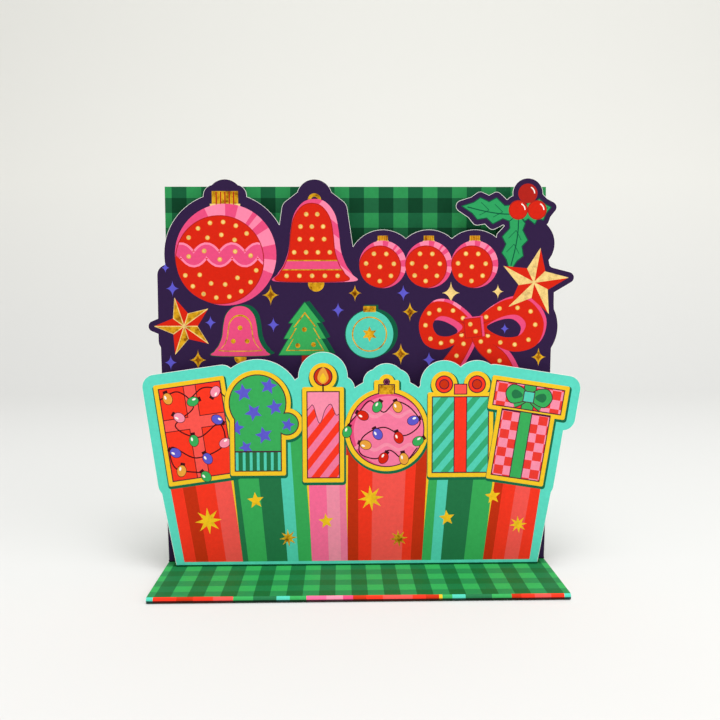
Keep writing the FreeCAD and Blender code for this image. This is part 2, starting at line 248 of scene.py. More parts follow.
# A node material: its nodes, its links, its main shader and the Object coordinates it reads
def newMaterial(name, finish):
    material = bpy.data.materials.new(name)
    material.use_nodes = True
    nodes = material.node_tree.nodes
    shader = nodes["Principled BSDF"]
    shader.inputs["Roughness"].default_value = finish["roughness"]
    shader.inputs["Specular IOR Level"].default_value = finish["specular"]
    place = nodes.new("ShaderNodeTexCoord").outputs["Object"]
    return material, nodes, material.node_tree.links, shader, place


# Fractal noise at a place
def noiseOn(nodes, links, place, scale, detail, roughness=0.6):
    noise = nodes.new("ShaderNodeTexNoise")
    for key, value in (("Scale", scale), ("Detail", detail), ("Roughness", roughness)):
        noise.inputs[key].default_value = value
    links.new(place, noise.inputs["Vector"])
    return noise.outputs["Fac"]


# A value moved from one range to another
def mapRange(nodes, links, value, low, high, fromLow=0.3, fromHigh=0.7):
    node = nodes.new("ShaderNodeMapRange")
    for key, number in (("From Min", fromLow), ("From Max", fromHigh), ("To Min", low), ("To Max", high)):
        node.inputs[key].default_value = number
    links.new(value, node.inputs["Value"])
    return node.outputs["Result"]


# Noise moved to a range of tones
def toneOn(nodes, links, place, scale, detail, low, high):
    return mapRange(nodes, links, noiseOn(nodes, links, place, scale, detail), low, high)


# Two colours mixed, each a socket or a fixed value
def mixColour(nodes, links, blend, share, first, second):
    node = nodes.new("ShaderNodeMix")
    node.data_type = "RGBA"
    node.blend_type = blend
    for key, value in ((0, share), (6, first), (7, second)):
        if isinstance(value, bpy.types.NodeSocket):
            links.new(value, node.inputs[key])
        else:
            node.inputs[key].default_value = value
    return node.outputs[2]


# Fine fibre relief
def paperGrain(nodes, links, place, shader, strength):
    bump = nodes.new("ShaderNodeBump")
    bump.inputs["Strength"].default_value = strength
    bump.inputs["Distance"].default_value = cardFinish["fibreDepth"] * mm
    links.new(noiseOn(nodes, links, place, *cardFinish["fibre"]), bump.inputs["Height"])
    links.new(bump.outputs["Normal"], shader.inputs["Normal"])


# Coated card: the ink comes from the mesh and is finely mottled; foil is part metal, its tone over noise
# from dark bronze to pale gold partly mottle and partly painted reflection
def printedCard():
    finish = cardFinish
    material, nodes, links, shader, place = newMaterial("printedCard", finish)
    ink = nodes.new("ShaderNodeAttribute")
    ink.attribute_name = "ink"
    foil = nodes.new("ShaderNodeAttribute")
    foil.attribute_name = "foil"
    printed = ink.outputs["Color"]
    for key in ("mottle", "grain"):
        tone = toneOn(nodes, links, place, *finish[key])
        printed = mixColour(nodes, links, "MULTIPLY", 1.0, printed, tone)
    # Foil tone over noise: partly mottle, partly painted reflection
    foilMottleAndReflection = nodes.new("ShaderNodeValToRGB")
    ramp = foilMottleAndReflection.color_ramp.elements
    ramp.new(finish["foilTones"][1][0])
    for tone, (position, colour) in zip(ramp, finish["foilTones"]):
        tone.position, tone.color = position, colour
    links.new(noiseOn(nodes, links, place, *finish["foilMottleAndReflection"]), foilMottleAndReflection.inputs["Fac"])
    metal = mixColour(nodes, links, "MULTIPLY", 1.0, ink.outputs["Color"], foilMottleAndReflection.outputs["Color"])
    share = foil.outputs["Fac"]
    links.new(mixColour(nodes, links, "MIX", share, printed, metal), shader.inputs["Base Color"])
    links.new(mapRange(nodes, links, share, 0, finish["foilMetal"], 0, 1), shader.inputs["Metallic"])
    gloss = mapRange(nodes, links, share, finish["roughness"], finish["foilRoughness"], 0, 1)
    links.new(gloss, shader.inputs["Roughness"])
    paperGrain(nodes, links, place, shader, finish["relief"])
    return material


# Uncoated white card for the hinge strips
def whiteCard():
    finish = stripFinish
    material, nodes, links, shader, place = newMaterial("whiteCard", finish)
    white = (*linear(inks["paper"]), 1)
    tone = toneOn(nodes, links, place, *finish["tone"])
    links.new(mixColour(nodes, links, "MULTIPLY", 1.0, white, tone), shader.inputs["Base Color"])
    paperGrain(nodes, links, place, shader, finish["relief"])
    return material


# Meshes

# A new object in the scene, of this mesh, lamp or camera
def addObject(name, data):
    thing = bpy.data.objects.new(name, data)
    bpy.context.collection.objects.link(thing)
    return thing


# A mesh in mm made a piece of the card: faces come in groups with their ink, or an ink for each, and ink
# and foil are kept at the corners of the faces
def makePiece(name, points, groups, material, node):
    mesh = bpy.data.meshes.new(name)
    mesh.from_pydata((points * mm).tolist(), [], [face for group, _ in groups for face in group.tolist()])
    sides = np.concatenate([np.full(len(group), group.shape[1]) for group, _ in groups])
    faceInks = np.concatenate([np.broadcast_to(ink, len(group)) for group, ink in groups])
    known, which = np.unique(faceInks, return_inverse=True)
    colours = np.array([(*linear(inks[ink]), 1.0) for ink in known])[which]
    shares = np.array([foilShare.get(ink, 0.0) for ink in known])[which]
    ink = mesh.attributes.new("ink", "FLOAT_COLOR", "CORNER")
    ink.data.foreach_set("color", np.repeat(colours, sides, axis=0).ravel())
    foil = mesh.attributes.new("foil", "FLOAT", "CORNER")
    foil.data.foreach_set("value", np.repeat(shares, sides))
    mesh.materials.append(material)
    piece = addObject(name, mesh)
    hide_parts(node)
    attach(piece, "root")
    print(name, len(mesh.polygons), "faces")


# Quads between neighbouring rows and columns of a grid of point numbers
def quads(grid):
    return np.stack([grid[:-1, :-1], grid[1:, :-1], grid[1:, 1:], grid[:-1, 1:]], -1).reshape(-1, 4)


# The edges that only one triangle has, among so many corners: no other runs the same way back
def openEdges(triangles, many):
    edges = np.r_[triangles[:, [0, 1]], triangles[:, [1, 2]], triangles[:, [2, 0]]]
    return edges[~np.isin(edges[:, 0] * many + edges[:, 1], edges[:, 1] * many + edges[:, 0])]


# What each vertex or triangle of a mesh holds under a key, three numbers a row
def threes(items, key, kind):
    numbers = np.empty(3 * len(items), kind)
    items.foreach_get(key, numbers)
    return numbers.reshape(-1, 3)


# The outline of a node's front face: its open edges end to end, each placed by the count of steps from
# it to the last, which is found by leaps that double in length
def frontOutline(node, baseTop):
    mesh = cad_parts[node].data
    mesh.calc_loop_triangles()
    corners = threes(mesh.vertices, "co", np.float32).astype(float) / mm
    corners, same = np.unique(corners.round(3), axis=0, return_inverse=True)
    triangles = same.ravel()[threes(mesh.loop_triangles, "vertices", np.int32)]
    front = triangles[(corners[triangles][:, :, 1] < corners[:, 1].min() + near).all(1)]
    edges = openEdges(front, len(corners))
    edges = edges[np.argsort(edges[:, 0])]
    leap = np.searchsorted(edges[:, 0], edges[:, 1])
    last = np.argmin(leap)
    leap[last] = last
    steps = (leap != np.arange(len(leap))).astype(int)
    for _ in range(len(leap).bit_length()):
        steps = steps + steps[leap]
        leap = leap[leap]
    ring = edges[np.argsort(-steps), 0]
    return corners[ring][:, [0, 2]] - (0, baseTop)


# Boards of the two layers

# In mm: the card, the inside of its fold, the tab's narrowing, the bare cut rim, the band of foot ink that
# wraps round the foot, a painted shade on the front board, and the height of the base's top
boardSizes = {"stock": 0.45, "foldInner": 0.15, "foldSteps": 8, "chamfer": 3.0, "rim": 0.12, "foot": 0.48,
              "baseTop": 2.0}


# Die-cut board: the printed front and the white back share their triangles, the cut edge joins them,
# and the bottom edge follows a quarter circle and then the base: y = turn - r cos a, z = turn - r sin a
def makeBoard(name, node, draw, footInkAndShade, material):
    size = boardSizes
    outline = frontOutline(node, size["baseTop"])
    artwork = Print(outline)
    # A band at the foot in the foot ink, which on the front board is a dark painted shade
    artwork.lay(slab(0, outline[:, 1].min(), 2 * outline[:, 0].max(), size["foot"]), footInkAndShade)
    draw(artwork, grow(outline, -size["rim"]))
    flat, triangles, faceInks = artwork.cut()
    low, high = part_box(node)
    front, tabEnd = low[1] / mm, high[1] / mm
    many = len(flat)
    rise = flat[:, 1] + size["baseTop"]
    skins = [np.c_[flat[:, 0], np.full(many, front + back), rise] for back in (0, size["stock"])]
    rim = openEdges(triangles, many)
    atFoot = (flat[rim][:, :, 1] < flat[:, 1].min() + near).all(1)
    wall = rim[~atFoot]
    foot = np.unique(rim[atFoot])
    foot = foot[np.argsort(flat[foot, 0])]
    x = flat[foot, 0]
    turn, steps = size["foldInner"] + size["stock"], size["foldSteps"] + 1
    angle = np.linspace(0, np.pi / 2, steps)[1:]
    narrow = np.r_[np.ones(steps - 1), 1 - size["chamfer"] / x.max()]
    for radius in (turn, size["foldInner"]):
        y = np.r_[front + turn - radius * np.cos(angle), tabEnd]
        z = np.r_[turn - radius * np.sin(angle), turn - radius] + size["baseTop"]
        sheet = np.broadcast_arrays(narrow[:, None] * x, y[:, None], z[:, None])
        skins.append(np.stack(sheet, -1).reshape(-1, 3))
    grid = np.arange(steps * len(x)).reshape(steps, -1) + 2 * many
    outer = np.r_[foot[None], grid]
    inner = np.r_[foot[None] + many, grid + grid.size]
    ends = [(outer[-1], inner[-1]), (inner[:, 0], outer[:, 0]), (outer[:, -1], inner[:, -1])]
    cutEdge = np.c_[wall[:, 0], wall[:, 0] + many, wall[:, 1] + many, wall[:, 1]]
    # The fold's outer face takes the foot ink: painted shade on the front board
    groups = [(triangles, faceInks), (triangles[:, ::-1] + many, "paper"), (cutEdge, "paper"),
              (quads(outer), footInkAndShade), (quads(inner)[:, ::-1], "paper")]
    groups += [(quads(np.stack(end)), "paper") for end in ends]
    makePiece(name, np.concatenate(skins), groups, material, node)


# Folded stand

# In mm but for the shares of the nose's height and of the stripe inks' brightness kept in the painted shade
# on the nose's lower half; level tells the base's top from what stands on it, and the stripes have their
# ink and a share of the width
standSizes = {
    "baseTop": 2.0, "ply": 0.35, "crease": 0.15, "arcSteps": 10, "level": 0.2,
    "check": 4.909, "columnShift": -2.35, "firstRow": 5.07, "topRow": 3.7,
    # noseStripes: shares of the nose's height where its stripes begin, where the painted shade on them
    # ends, and where they end
    "noseStripes": (0.1, 0.55, 0.97), "turnedUnder": 0.3,
    "stripes": (("teal", 2), ("red", 7), ("darkRed", 5), ("red", 6), ("lightRed", 6), ("green", 6),
                ("darkGreen", 7), ("teal", 4), ("green", 5), ("stripePink", 6), ("lightPink", 5),
                ("hotPink", 3), ("darkRed", 4), ("red", 5), ("lightRed", 9), ("red", 4), ("darkRed", 4),
                ("yellow", 1), ("green", 3), ("teal", 4), ("darkGreen", 8), ("green", 6), ("darkRed", 3),
                ("red", 4), ("lightRed", 5), ("red", 4), ("teal", 2)),
}
# Each stripe's ink once more, darkened as painted shade for the nose's lower half, where it turns under
for name in {name for name, _ in standSizes["stripes"]}:
    inks[name + "Under"] = tuple(standSizes["turnedUnder"] * np.array(inks[name]))


# Section of the double sheet as (y, z), from the panel's top round the nose: arcs and straight runs
def standSection(nose, panel, back, top):
    size = standSizes
    ply, crease, baseTop, level = size["ply"], size["crease"], size["baseTop"], size["level"]
    roll, heel = baseTop / 2, crease + ply
    turn = np.linspace(0, np.pi, size["arcSteps"] + 1)
    quarter = turn / 2
    down = np.arange(top - size["topRow"], baseTop + crease + level, -size["check"])
    out = np.arange(nose + size["firstRow"], panel - crease - level, size["check"])[::-1]
    outer = np.r_[
        [(panel, top)],
        np.c_[np.full(len(down), panel), down],
        np.c_[panel - crease + crease * np.cos(quarter), baseTop + crease - crease * np.sin(quarter)],
        np.c_[out, np.full(len(out), baseTop)],
        np.c_[nose + roll - roll * np.sin(turn), roll + roll * np.cos(turn)],
        np.c_[back - heel + heel * np.sin(quarter), heel - heel * np.cos(quarter)],
        [(back, top)]]
    hollow = np.r_[
        np.c_[nose + roll - (roll - ply) * np.sin(turn), roll + (roll - ply) * np.cos(turn)][::-1],
        np.c_[panel - crease + heel * np.sin(quarter), baseTop + crease - heel * np.cos(quarter)],
        np.c_[back - heel + crease * np.cos(quarter), heel - crease * np.sin(quarter)]]
    return outer, hollow


# Inks over the stand: plaid on the panel's front and the base's top, the panel's plaid darker as painted
# shade, stripes round the nose, darkened on its lower half as painted shade, and a plain back
def standInks(x, y, z, nose, panel, top, firstColumn, starts):
    size = standSizes
    column = np.floor((x - firstColumn) / size["check"]) % 2 == 0
    onPanel = (z > size["baseTop"] + size["level"]) & (y < panel + near)
    onBase = (np.abs(z - size["baseTop"]) < size["level"]) & (y < panel + near)
    panelRow = np.floor((top - size["topRow"] - z) / size["check"]) % 2 == 0
    baseRow = np.floor((y - nose - size["firstRow"]) / size["check"]) % 2 == 1
    low, middle, high = (share * size["baseTop"] for share in size["noseStripes"])
    onNose = (y < nose + size["baseTop"] / 2) & (z > low) & (z < high)
    stripe = np.array([ink for ink, _ in size["stripes"]])[np.searchsorted(starts, x, "right") - 1]
    # Below the middle share the stripes take their darkened inks: painted shade on the nose's lower half
    stripe = np.where(z < middle, np.char.add(stripe, "Under"), stripe)
    ink = np.full(x.shape, "underside", dtype="<U20")
    # The panel and the base take their own plaid inks; the panel's darker ones are painted shade
    for area, here, row in (("panel", onPanel, panelRow), ("base", onBase, baseRow)):
        for suffix, square in (("Light", ~column & ~row), ("Column", column & ~row), ("Row", ~column & row),
                               ("Dark", column & row)):
            ink[here & square] = area + suffix
    ink[onNose] = stripe[onNose]
    ink[(y > panel + near) & (z > top - near)] = "paper"
    return ink


# The section carried along the card's width, with a line of points at each square and stripe of the print
def makeStand(material):
    size = standSizes
    low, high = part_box("folded_stand")
    left, nose, _ = np.array(low) / mm
    right, back, top = np.array(high) / mm
    panel = back - 2 * size["ply"]
    outer, hollow = standSection(nose, panel, back, top)
    first = size["columnShift"] - size["check"] * math.floor((size["columnShift"] - left) / size["check"])
    shares = np.array([share for _, share in size["stripes"]], float)
    starts = (left + (right - left) * (np.cumsum(shares) - shares) / shares.sum()).round(4)
    columns = np.arange(first, right - size["level"], size["check"])
    across = np.unique(np.r_[left, columns, starts, right].round(4))
    loop, wide, count = len(outer), len(across), len(hollow)
    grid = np.arange(loop * wide).reshape(loop, wide)
    skin = quads(np.r_[grid, grid[:1]])
    middleYZ = (outer + np.roll(outer, -1, 0)) / 2
    middleX = (across[:-1] + across[1:]) / 2
    middles = np.broadcast_arrays(middleX[None], middleYZ[:, :1], middleYZ[:, 1:])
    skinInks = standInks(*middles, nose, panel, top, first, starts).ravel()
    points = np.stack(np.broadcast_arrays(across[None], outer[:, :1], outer[:, 1:]), -1).reshape(-1, 3)
    inside = np.concatenate([np.c_[np.full(count, side), hollow] for side in (left, right)])
    tubeGrid = np.arange(2 * count).reshape(2, count).T + len(points)
    tube = quads(np.r_[tubeGrid, tubeGrid[:1]])
    # Cut ends: triangles of the section less its hollow
    loops = [list(range(loop)), list(range(loop, loop + count))[::-1]]
    cap = delaunay_2d_cdt([Vector(place) for place in np.r_[outer, hollow]], [], loops, *cutting)
    solid = [triangle for triangle, own in zip(cap[2], cap[5]) if list(own) == [0]]
    kept = np.array([cap[3][corner][0] for corner in np.ravel(solid)]).reshape(-1, 3)
    leftEnd = np.r_[grid[:, 0], tubeGrid[:, 0]][kept[:, ::-1]]
    rightEnd = np.r_[grid[:, -1], tubeGrid[:, 1]][kept]
    groups = [(skin, skinInks)] + [(group, "paper") for group in (tube, leftEnd, rightEnd)]
    makePiece("standSheet", np.r_[points, inside], groups, material, "folded_stand")


# Middle layer's print

# The dot's pale centre is a painted highlight
dotSizes = {"rim": 0.78, "centre": 0.54}


# Gold dot with an amber rim and a pale centre, a painted highlight
def goldDot(art, x, h):
    art.lay(disc(x, h, dotSizes["rim"]), "amber")
    art.lay(disc(x, h, dotSizes["centre"]), "brightGold")


ballPrint = {
    "big": {"place": (-43.0, 102.8), "radius": 16.6, "cap": 4.3, "band": 3.8,
            "rings": ((12.4, 18, 4), (8.2, 11, 20))},
    "small": {"place": (8.6, 99.6), "radius": 7.8, "cap": 1.7, "band": 0,
              "rings": ((4.7, 7, 12), (0, 1, 0))},
    "pitch": 15.2, "count": 3, "face": 0.86, "shift": (-0.12, -0.1), "line": 0.3,
    # The next three are shares of the cap
    "capParts": ((0.2, 2, 1.5, "gold"), (-0.25, 2.3, 0.5, "brightGold")),
    "flutes": (-0.66, 0.66, 5), "flute": (0.35, 0.09, 1.1),
    "blocks": ((22, 10), (47, 4), (66, 9), (102, 12), (-14, 8)),
    "wave": (1.5, 0.75), "waveEdge": 1.4, "waveDots": slice(8, -12, 9), "gap": 3.6,
}


# Round ornament: pink side to the upper right with paler blocks, red face with rings of dots, foil cap
def drawBall(art, kind, x, h, name):
    size = ballPrint
    radius, cap, band = kind["radius"], kind["cap"], kind["band"]
    parts = [(0, *part) for part in size["capParts"]]
    parts += [(step, *size["flute"], "darkBerry") for step in np.linspace(*size["flutes"])]
    for side, lift, wide, tall, ink in parts:
        art.lay(slab(x + side * cap, h + radius + lift * cap, wide * cap, tall * cap), ink)
    art.lay(disc(x, h, radius), "hotPink", name=name)
    for turn, spread in size["blocks"]:
        wedge = polar(x, h, 2 * radius, np.array([turn - spread, turn + spread]))
        art.lay(np.r_[[(x, h)], wedge], "sidePink", within=name)
    faceX, faceH = np.array(size["shift"]) * radius + (x, h)
    face = disc(faceX, faceH, size["face"] * radius)
    art.lay(grow(face, size["line"]), "darkBerry", within=name)
    art.lay(face, "deepRed", name=name + "Face")
    if band:
        wave = waved(x, h, radius, *size["wave"])
        edgedStroke(art, wave, band, size["waveEdge"], "sidePink", "hotPink", name + "Face")
        for place in wave[size["waveDots"]]:
            goldDot(art, *place)
    for reach, count, first in kind["rings"]:
        for place in polar(faceX, faceH, reach, first + 360 * np.arange(count) / count):
            if not band or abs(place[1] - h) > size["gap"]:
                goldDot(art, *place)


bellPrint = {
    "place": (-13.8, 94.0), "size": (24.6, 27.0), "face": (0.86, 0.93), "shift": (-0.9, 0.3), "line": 0.3,
    "hanger": (-13.8, 120.6), "hangerRings": ((2.2, "gold"), (1.1, "purple")),
    "clapper": (-13.4, 93.4, 2.7), "blocks": (97.5, 106.0, 114.5), "block": (-5.8, 16, 3.4, -38),
    "band": ((5.4, 2.6, "hotPink"), (6.9, 0.4, "gold"), (3.9, 0.4, "gold")),
    "rows": ((1.9, 5, 4.2), (9.6, 4, 3.9), (13.9, 3, 4.0), (18.0, 3, 3.7), (22.0, 2, 3.6)),
}


# Bell: pink side, red face with rows of dots and a pink band, foil hanger and clapper
def drawBell(art):
    size = bellPrint
    for radius, ink in size["hangerRings"]:
        art.lay(disc(*size["hanger"], radius), ink)
    art.lay(disc(*size["clapper"]), "gold")
    art.lay(bellShape(*size["place"], *size["size"]), "hotPink", name="bell")
    blockX, *block = size["block"]
    for blockH in size["blocks"]:
        art.lay(slab(blockX, blockH, *block), "sidePink", within="bell")
    x, h = np.add(size["place"], size["shift"])
    face = bellShape(x, h, *np.multiply(size["face"], size["size"]))
    art.lay(grow(face, size["line"]), "darkBerry", within="bell")
    art.lay(face, "deepRed", name="bellFace")
    low = size["place"][1]
    for rise, tall, ink in size["band"]:
        art.lay(slab(x, low + rise, size["size"][0], tall), ink, within="bellFace")
    for rise, count, gap in size["rows"]:
        for step in spaced(count, gap):
            goldDot(art, x + step, low + rise)


trioPrint = {
    "side": (1.5, 0.5), "sideShares": (1, 0.15, 5), "line": 0.25, "inline": (0.74, 0.055), "dot": 0.8,
    "bell": {"place": (-38.6, 69.6), "size": (17.0, 16.4), "middle": (-38.6, 75.2),
             "clapper": (-38.6, 68.9, 2.0), "dots": ((-40.9, 74.4), (-38.6, 78.8), (-36.3, 74.4))},
    "tree": {"place": (-17.2, 69.8), "middle": (-17.2, 75.0), "trunk": (-16.6, 68.4, 3.4, 3.4),
             "dots": ((-19.6, 72.9), (-14.4, 73.2), (-17.4, 78.2)),
             "half": ((0, 17.4), (5.2, 10.6), (3.9, 10.6), (6.9, 5.4), (5.4, 5.4), (8.6, 0))},
    "ball": {"place": (4.2, 76.6), "radius": 7.9, "cap": (4.2, 84.9, 4.2, 2.0),
             "capSide": (4.8, 85.0, 4.6, 2.6), "star": (2.6, 0, 6, 0.5)},
}


# Pink bell, green tree and teal ball, each with a dark side to the right, a gold inline and gold marks
def drawTrio(art):
    size = trioPrint
    bell, tree, ball = size["bell"], size["tree"], size["ball"]
    art.lay(disc(*bell["clapper"]), "gold")
    art.lay(slab(*tree["trunk"]), "darkBerry")
    art.lay(slab(*ball["capSide"]), "deepGreen")
    half = np.array(tree["half"], float)
    for shape, ink, middle, name in (
            (bellShape(*bell["place"], *bell["size"]), "hotPink", bell["middle"], "pinkBell"),
            (np.r_[half[::-1], (half * (-1, 1))[1:]] + tree["place"], "green", tree["middle"], "tree"),
            (disc(*ball["place"], ball["radius"]), "teal", ball["place"], "tealBall")):
        for share in np.linspace(*size["sideShares"]):
            art.lay(shape + share * np.array(size["side"]), "deepGreen")
        art.rings(shape, ((size["line"], "deepGreen"), (0, ink)), name=name)
        share, line = size["inline"]
        for inner, tone in ((share, "gold"), (share - line, ink)):
            art.lay((shape - middle) * inner + middle, tone, within=name)
    art.lay(slab(*ball["cap"]), "gold")
    art.lay(star(*ball["place"], *ball["star"]), "gold")
    for place in bell["dots"] + tree["dots"]:
        art.lay(disc(*place, size["dot"]), "gold")


bowPrint = {
    "knot": (38.6, 78.6), "knotSize": (5.3, 6.1, 0.5), "knotSide": (39.1, 78.9, 6.2, 6.8), "tilt": 6,
    "knotDot": (0.9, -1.2), "side": (0.9, 0.8), "inside": (-1.6, -1.3), "line": 0.25,
    "loops": ((1, 1), (-0.76, 0.9)), "blocks": (6, 15), "block": (87.6, 3.0, 8, -25),
    "loop": ((0, 1.4), (5, 6.2), (12, 9.6), (19, 8.8), (23.6, 2.0), (21.4, -5.6), (14, -8.0), (6, -5.2),
             (0, -1.6)),
    "hole": ((4.6, 0.2), (9.2, 3.4), (14.6, 4.2), (17.6, 1.2), (15.4, -2.6), (9.6, -2.9)),
    "dots": ((4.4, 3.6), (8.8, 6.4), (14.8, 6.6), (19.2, 5.4), (20.8, 1.0), (18.6, -4.0), (14.0, -5.6),
             (9.2, -4.9), (5.0, -2.6)),
    "folds": ((7.5, 2.6), (7.2, -2.4)), "foldMiddle": (0.6, 0.75), "foldWidth": (0.7, 0.1),
    "tails": (((-0.5, 0), (-4, -7), (-8, -13), (-13, -20)), ((0.5, 0), (3.6, -6), (9.0, -11), (13.0, -20))),
    "tailWidth": (3.9, 6.3), "tailEdge": 0.5, "tailSide": (1.5, 0.5), "tailDots": slice(6, None, 5),
    "sparkle": (49.2, 78.3, 1.5),
}


# Ribbon bow: red with gold dots, pink where its side and inside show
def drawBow(art):
    size = bowPrint
    knot = np.array(size["knot"])
    for path in size["tails"]:
        tail = smooth(path) + knot
        width = np.linspace(*size["tailWidth"], len(tail))
        art.lay(stroke(tail + size["tailSide"], width + size["tailEdge"]), "hotPink")
        edgedStroke(art, tail, width, size["tailEdge"], "darkBerry", "deepRed")
        for place in tail[size["tailDots"]]:
            goldDot(art, *place)
    blockH, *block = size["block"]
    for number, scale in enumerate(size["loops"]):
        name = f"loop{number}"
        order = int(np.sign(scale[0]))  # a mirrored loop is read backwards, so it still runs anticlockwise
        outer, inner = (smooth(np.array(size[key]) * scale, closed=True)[::order] + knot
                        for key in ("loop", "hole"))
        art.lay(outer + size["side"], "hotPink", name=name)
        for side in size["blocks"]:
            art.lay(slab(knot[0] + side * scale[0], blockH, *block), "sidePink", within=name)
        art.rings(outer, ((size["line"], "darkBerry"), (0, "deepRed")))
        art.lay(grow(inner, size["line"]), "darkBerry")
        art.lay(inner, "hotPink", name=name + "Inside")
        art.lay(inner + size["inside"], "purple", within=name + "Inside")
        for place in np.array(size["dots"]) * scale + knot:
            goldDot(art, *place)
        for fold in np.array(size["folds"]) * scale:
            line = smooth([knot, knot + fold * size["foldMiddle"], knot + fold])
            art.lay(stroke(line, np.linspace(*size["foldWidth"], len(line))), "darkBerry")
    art.lay(slab(*size["knotSide"], size["tilt"]), "hotPink")
    edgedSlab(art, *knot, *size["knotSize"], "darkBerry", "deepRed", size["tilt"])
    for side in (-1, 1):
        goldDot(art, *(knot + side * np.array(size["knotDot"])))
    art.lay(sparkle(*size["sparkle"]), "violet")


hollyPrint = {
    "stalk": (53.4, 116.0), "leaves": ((172, 19), (12, 11), (262, 19)), "width": 8.6,
    "leafRings": ((0.15, "deepGreen"), (-0.15, "leaf")),
    "vein": ((0.0, 0.0), (0.3, 0.035), (0.6, 0.03), (0.9, 0.0)), "veinWidth": 0.36,
    "ribs": ((0.28, 36), (0.52, 36), (0.28, -36), (0.52, -36)), "rib": (0.19, 0.2),
    "berries": ((90, "darkBerry"), (210, "berry"), (330, "berry")), "rim": (0.1, -0.25),
    "middle": (56.4, 119.2), "spread": 3.6, "radius": 3.1, "shine": (0.72, 0.36), "shineTurns": (0, 63, 8),
}


# Holly: spiny leaves with veins, and three berries with a shine
def drawHolly(art):
    size = hollyPrint
    stalk = np.array(size["stalk"])
    reach, ribWidth = size["rib"]
    for turn, length in size["leaves"]:
        name = f"leaf{turn}"
        art.rings(leafShape(*stalk, length, size["width"], turn), size["leafRings"], name=name)
        vein = turned(smooth(size["vein"]) * length + stalk, turn, *stalk)
        art.lay(stroke(vein, size["veinWidth"]), "deepGreen")
        for share, spread in size["ribs"]:
            root = stalk + (length * share, 0)
            rib = turned([root, polar(*root, reach * length, spread)], turn, *stalk)
            art.lay(stroke(rib, ribWidth), "deepGreen", within=name)
    share, shineWidth = size["shine"]
    outer, inner = size["rim"]
    for turn, ink in size["berries"]:
        place = polar(*size["middle"], size["spread"], turn)
        art.rings(disc(*place, size["radius"]), ((outer, "darkBerry"), (inner, ink)))
        arc = polar(*place, share * size["radius"], np.linspace(*size["shineTurns"]))
        art.lay(stroke(arc, shineWidth), "white")


middlePrint = {
    "starLine": 0.3, "sparkleCentre": 0.52,
    # The right star's paler foil, against the left's gold, is a painted reflection
    "stars": ((-57.0, 79.4, 9.9, 18, "gold"), (58.8, 93.6, 11.6, -10, "brightGold")),
    "sparkles": {
        "gold": ((-28.4, 89.6, 2.9), (17.6, 84.0, 2.7), (-52.6, 68.2, 2.9), (14.6, 70.0, 3.0),
                 (60.6, 68.8, 2.6), (-0.6, 90.2, 2.3)),
        "brightGold": ((31.2, 90.2, 3.1), (46.8, 90.6, 2.0)),
        "violet": ((-60.6, 91.8, 2.2), (-48.3, 80.6, 1.9), (-27.6, 79.8, 2.1), (15.4, 90.2, 2.2),
                   (-61.6, 67.4, 2.1), (24.0, 68.0, 2.2), (-6.2, 84.6, 2.1), (-62.8, 98.6, 1.4)),
    },
}


# Star of ten flat facets, foil and red by turns, with a bright line round the foil ones
def facetStar(art, x, h, radius, turn, foil):
    rim = star(x, h, radius, turn)
    art.lay(rim, "deepRed", name="star")
    for tip in range(0, len(rim), 2):
        facet = np.array([(x, h), rim[tip], rim[tip + 1]])
        art.lay(facet, foil)
        for line in zip(facet, np.roll(facet, -1, 0)):
            art.lay(stroke(line, middlePrint["starLine"]), "brightGold", within="star")


# Dark purple ground with ornaments, a bow, stars, sparkles and holly
def drawMiddle(art, edge):
    size = middlePrint
    art.lay(edge, "purple", name="ground")
    for ink, places in size["sparkles"].items():
        for x, h, radius in places:
            art.lay(sparkle(x, h, radius), ink)
            if ink == "gold":
                art.lay(sparkle(x, h, radius * size["sparkleCentre"]), "darkGold")
    drawTrio(art)
    drawBow(art)
    drawBell(art)
    drawBall(art, ballPrint["big"], *ballPrint["big"]["place"], "ball")
    x, h = ballPrint["small"]["place"]
    for step in range(ballPrint["count"]):
        drawBall(art, ballPrint["small"], x + step * ballPrint["pitch"], h, f"smallBall{step}")
    drawHolly(art)
    for place in size["stars"]:
        facetStar(art, *place)


# Front layer's print

frameBorders = ((1.05, (0.2, -0.5), "drop"), (0.6, (0, 0), "yellow"), (-0.75, (0, 0), "line"))
fillBorder = -1.1


# One object of the row: dark drop, yellow frame and dark line round its shapes, then its fill
def frameObject(art, shapes, ink, name):
    for border, shift, tone in frameBorders:
        for shape in shapes:
            art.lay(grow(shape, border) + shift, tone)
    for shape in shapes:
        art.lay(grow(shape, fillBorder), ink, name=name)


# Slanting bars inside an object
def bars(art, inside, x, h, pitch, width, tilt, ink, many=17, reach=60):
    for step in spaced(many, pitch):
        art.lay(slab(x + step, h, width, reach, tilt), ink, within=inside)


lightPrint = {"wire": 0.42, "line": 0.16, "holder": (1.6, 1.5, 1.3), "glass": (-0.5, 1.46, 1.28),
              "shine": (-0.55, 0.1, 0.34, 1.9)}


# String of lights: a curved wire, and lamps with a holder, a glass and a shine
def drawLights(art, wires, lamps):
    size = lightPrint
    for wire in wires:
        art.lay(stroke(smooth(wire), size["wire"]), "wire")
    lift, width, height = size["holder"]
    drop, radius, tall = size["glass"]
    shineX, shineH, shine, long = size["shine"]
    for x, h, turn, ink in lamps:
        for shape, tone in ((slab(x, h + lift, width, height), "wire"),
                            (disc(x, h + drop, radius + size["line"], tall), "wire"),
                            (disc(x, h + drop, radius, tall), ink),
                            (disc(x + shineX, h + shineH, shine, long), "white")):
            art.lay(turned(shape, turn, x, h), tone)


